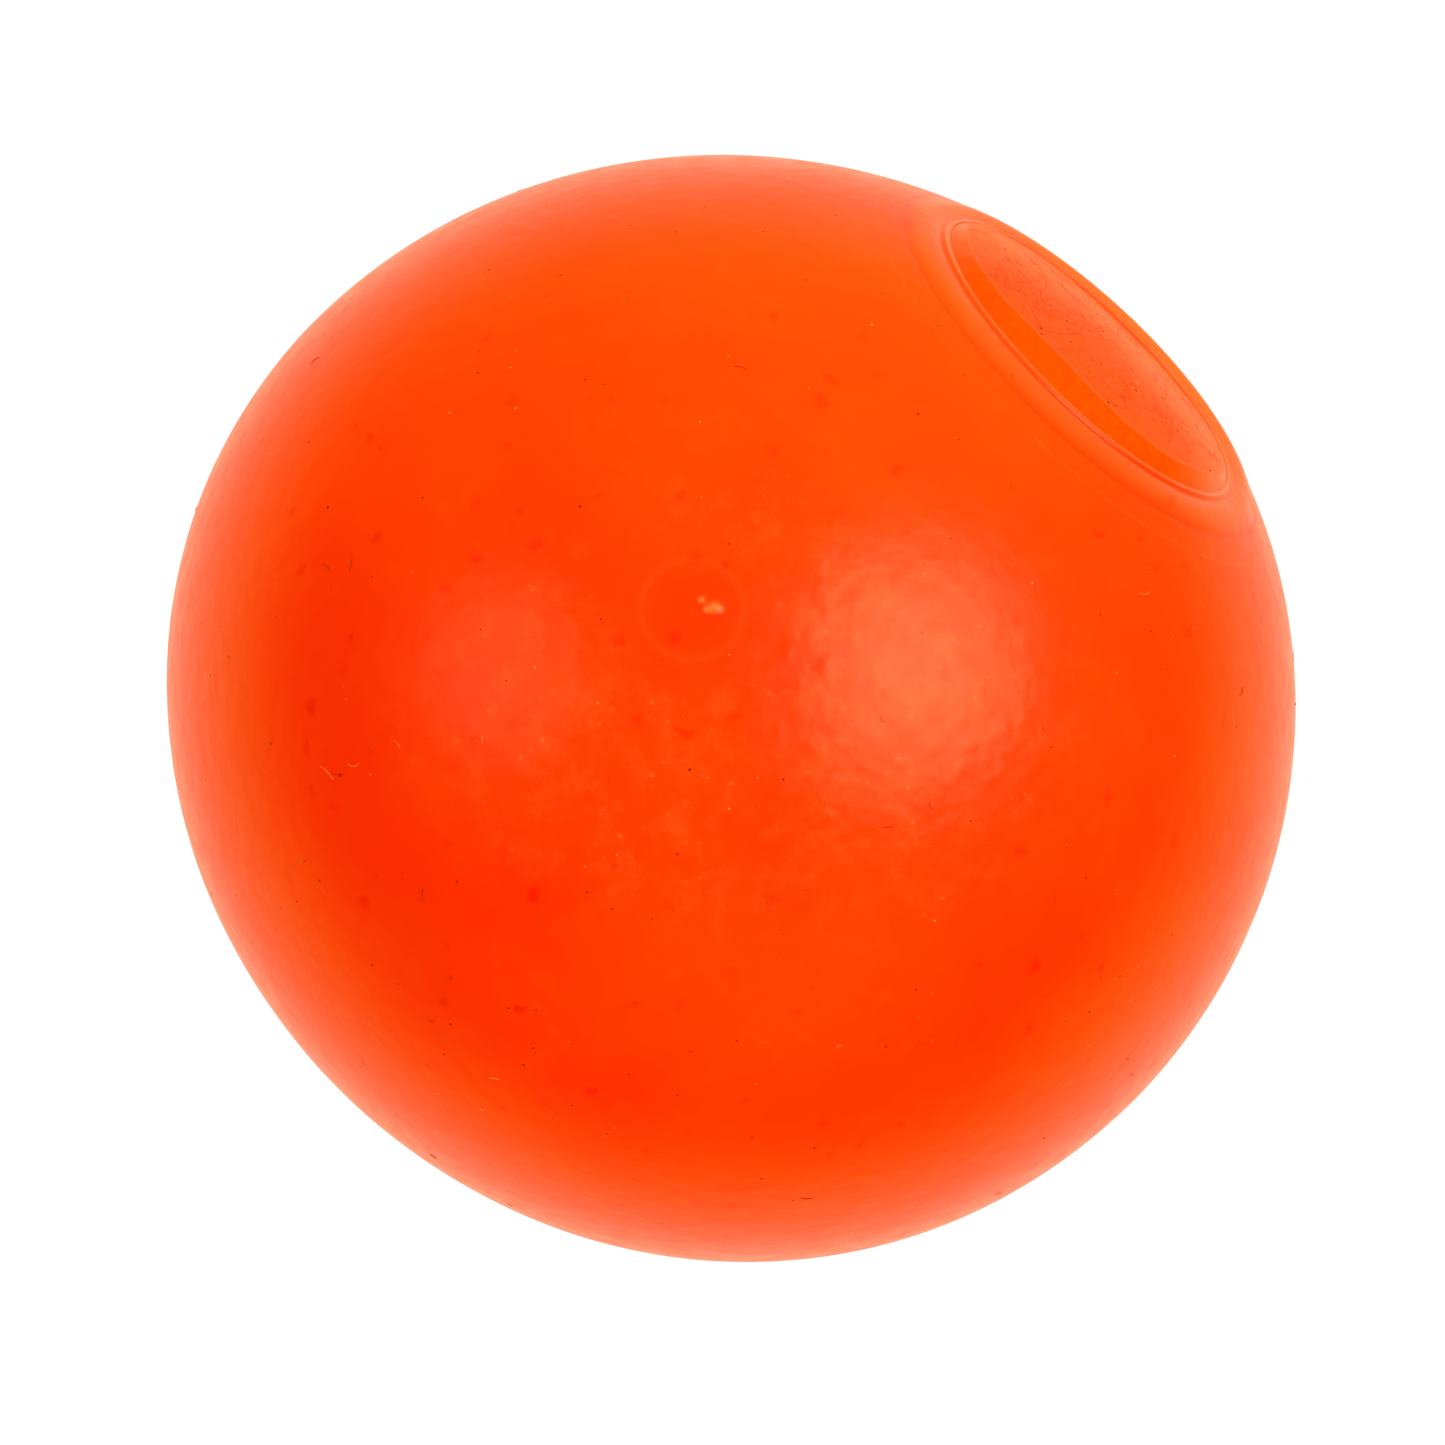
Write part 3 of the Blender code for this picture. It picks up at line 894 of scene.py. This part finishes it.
def dough_material():
    """Pale, matte, slightly grainy dough."""
    material, tree, shader = new_material("dough_look")
    place = millimetres(tree)
    blotch = noise_of(tree, place, 0.3, 5.0, 0.6)
    color = blend(tree, remap(tree, blotch, 0.3, 0.7), (0.78, 0.64, 0.42, 1), (0.90, 0.80, 0.60, 1))
    surface(tree, shader, color, remap(tree, blotch, 0.3, 0.7, 0.62, 0.8))
    roughen(tree, shader, noise_of(tree, place, 2.5, 6.0, 0.7), 0.5, 0.2 * MM)
    set_inputs(shader, Subsurface_Weight=0.2, Subsurface_Scale=0.003)
    return material


def lint_material(name, dark, pale):
    """Fibre with a colour that varies along it."""
    material, tree, shader = new_material(name)
    shade = noise_of(tree, millimetres(tree), 1.2, 2.0)
    tree.links.new(blend(tree, remap(tree, shade, 0.35, 0.65), dark, pale), shader.inputs["Base Color"])
    set_inputs(shader, Roughness=0.8)
    return material


# ---------------------------------------------------------------- stage, light and camera

FLOOR_SIZE = 40.0
FLOOR_DROP = 0.2 * MM

# Distances of the lights from the ball, and the width of the broad ones
SOFTBOX_DISTANCE = 0.60
FILL_DISTANCE = 1.50
FILL_WIDTH = 1.4

# Strengths of the surroundings, by where their light comes from
BACKDROP = 0.75
OVERHEAD = 0.68
UPPER_RIGHT = 0.45
FRONT = 0.35
ROOM = 0.06
RETURNED_RED = 0.65


def build_floor():
    """Large plain white floor. It glows like a light table, so it stays white round the ball."""
    bpy.ops.mesh.primitive_plane_add(size=FLOOR_SIZE, location=(0, 0, -FLOOR_DROP))
    floor = bpy.context.object
    floor.name = "studio_floor"
    material = bpy.data.materials.new("white_floor")
    material.use_nodes = True
    shader = material.node_tree.nodes["Principled BSDF"]
    set_inputs(shader, Base_Color=(0.03, 0.03, 0.03, 1), Roughness=0.9, Specular_IOR_Level=0.0)
    set_inputs(shader, Emission_Color=(1, 1, 1, 1), Emission_Strength=1.0)
    floor.data.materials.append(material)
    floor.visible_glossy = False
    floor.visible_diffuse = False
    floor.visible_shadow = False


def oval_light(name, direction, distance, size, radiance, color, spread=180, lean=0, mirrored=True):
    """Oval light facing the ball, brighter in its middle if its spread in degrees is small.

    The direction is given to the viewer's right, upward and towards the viewer.
    """
    width, height = size
    right, upward, toward = direction
    heading = (RIGHT * right + VIEW_UP * upward + TO_VIEWER * toward).normalized()
    data = bpy.data.lights.new(name, "AREA")
    data.shape = "ELLIPSE"
    data.size = width
    data.size_y = height
    data.color = color
    data.spread = math.radians(spread)
    data.energy = radiance * math.pi * width * height * math.pi / 4
    light = bpy.data.objects.new(name, data)
    light.visible_glossy = mirrored
    light.location = CENTER + heading * distance
    lean = math.radians(lean)
    across = (VIEW_UP * math.cos(lean) + RIGHT * math.sin(lean)).cross(heading).normalized()
    light.rotation_mode = "QUATERNION"
    light.rotation_quaternion = Matrix((across, heading.cross(across), heading)).transposed().to_quaternion()
    bpy.context.scene.collection.objects.link(light)


def build_world():
    """Bright surroundings behind and above the ball, and a dim room on the viewer's side.

    From the sides and behind comes more red, which is the ball's own glow that the white table returns.
    """
    world = bpy.data.worlds.new("studio")
    world.use_nodes = True
    bpy.context.scene.world = world
    tree = world.node_tree
    direction = node(tree, "ShaderNodeTexCoord").outputs["Generated"]

    def facing(axis):
        dot = node(tree, "ShaderNodeVectorMath", {0: direction, 1: tuple(axis)}, operation="DOT_PRODUCT")
        return dot.outputs["Value"]

    toward = facing(TO_VIEWER)
    backdrop = remap(tree, toward, 0.05, -0.60, 0.0, BACKDROP)
    overhead = remap(tree, facing(VIEW_UP), 0.15, 0.95, 0.0, OVERHEAD)
    upper_right = remap(tree, facing((RIGHT + VIEW_UP).normalized()), 0.2, 0.95, 0.0, UPPER_RIGHT)
    around = calc(tree, "MAXIMUM", backdrop, calc(tree, "ADD", overhead, upper_right))
    front = remap(tree, toward, 0.55, 1.0, 0.0, FRONT)
    strength = calc(tree, "ADD", around, calc(tree, "ADD", front, ROOM))
    tone = blend(tree, remap(tree, toward, -0.35, -0.95), (*WARM, 1), (*PALE, 1))
    plain = node(tree, "ShaderNodeVectorMath", {0: tone, "Scale": strength}, operation="SCALE").outputs[0]
    returned = remap(tree, toward, 0.35, -0.30, 0.0, RETURNED_RED)
    glow = node(tree, "ShaderNodeCombineXYZ", {0: returned}).outputs[0]
    lit = node(tree, "ShaderNodeBackground", {"Color": vector_calc(tree, "ADD", plain, glow)})
    seen = node(tree, "ShaderNodeBackground", {"Color": (1, 1, 1, 1)})
    path = node(tree, "ShaderNodeLightPath").outputs["Is Camera Ray"]
    mixed = node(tree, "ShaderNodeMixShader", {0: path, 1: lit.outputs[0], 2: seen.outputs[0]})
    tree.links.new(mixed.outputs[0], tree.nodes["World Output"].inputs["Surface"])


def build_lights():
    """Two softboxes that the ball mirrors, and three broad warm lights that it doesn't."""
    right = (0.615, 0.195, 0.764)
    left = (-0.71, 0.15, 0.688)
    oval_light("right_softbox", right, SOFTBOX_DISTANCE, (0.50, 0.70), 0.50, WHITE, spread=62, lean=30)
    oval_light("left_softbox", left, SOFTBOX_DISTANCE, (0.36, 0.36), 0.12, WHITE, spread=66)
    for name, direction, radiance in (
        ("fill_light", (-0.75, 0.0, 0.65), 1.5),
        ("bounce_light", (0.0, -0.85, 0.5), 1.5),
        ("side_light", (0.65, -0.35, 0.65), 1.6),
    ):
        oval_light(name, direction, FILL_DISTANCE, (FILL_WIDTH, FILL_WIDTH), radiance, WARM, mirrored=False)


def build_camera():
    """Camera with a long lens, looking down at the ball from the viewer's place."""
    data = bpy.data.cameras.new("camera")
    data.sensor_width = 36.0
    data.lens = data.sensor_width * BALL_SHARE_OF_FRAME * VIEW_DISTANCE / BALL_RADIUS
    data.clip_start = 0.01
    data.clip_end = 100.0
    camera = bpy.data.objects.new("camera", data)
    frame_width = BALL_RADIUS / BALL_SHARE_OF_FRAME
    offset_right, offset_up = BALL_OFFSET_IN_FRAME
    target = CENTER - (RIGHT * offset_right + VIEW_UP * offset_up) * frame_width
    camera.location = target + TO_VIEWER * VIEW_DISTANCE
    camera.rotation_mode = "QUATERNION"
    camera.rotation_quaternion = (-TO_VIEWER).to_track_quat("-Z", "Y")
    bpy.context.scene.collection.objects.link(camera)
    bpy.context.scene.camera = camera


def place(piece, slot=None, replaced=None):
    """Fastens a piece to the ball's one body and hides the CAD part that it replaces. The slot is not used.
    """
    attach(piece, "root")
    if replaced:
        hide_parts(replaced)


skin = build_skin(skin_material())
place(skin, "skin_rubber", "outer_skin")
place(build_stopper(stopper_material()), "stopper_rubber", "fill_stopper")
place(build_glue(glue_material()), "clear_glue", "glue_seal")
place(build_filling(dough_material()), "dough", "dough_filling")
dark_lint = lint_material("dark_lint", (0.18, 0.012, 0.004, 1), (0.55, 0.02, 0.004, 1))
pale_lint = lint_material("pale_lint", (0.90, 0.22, 0.12, 1), (1.00, 0.45, 0.32, 1))
place(build_lint("lint_dark", 80, 41, 0.020 * MM, dark_lint))
place(build_lint("lint_pale", 40, 87, 0.018 * MM, pale_lint))

build_floor()
build_world()
build_lights()
build_camera()
bpy.context.scene.view_settings.view_transform = "Standard"
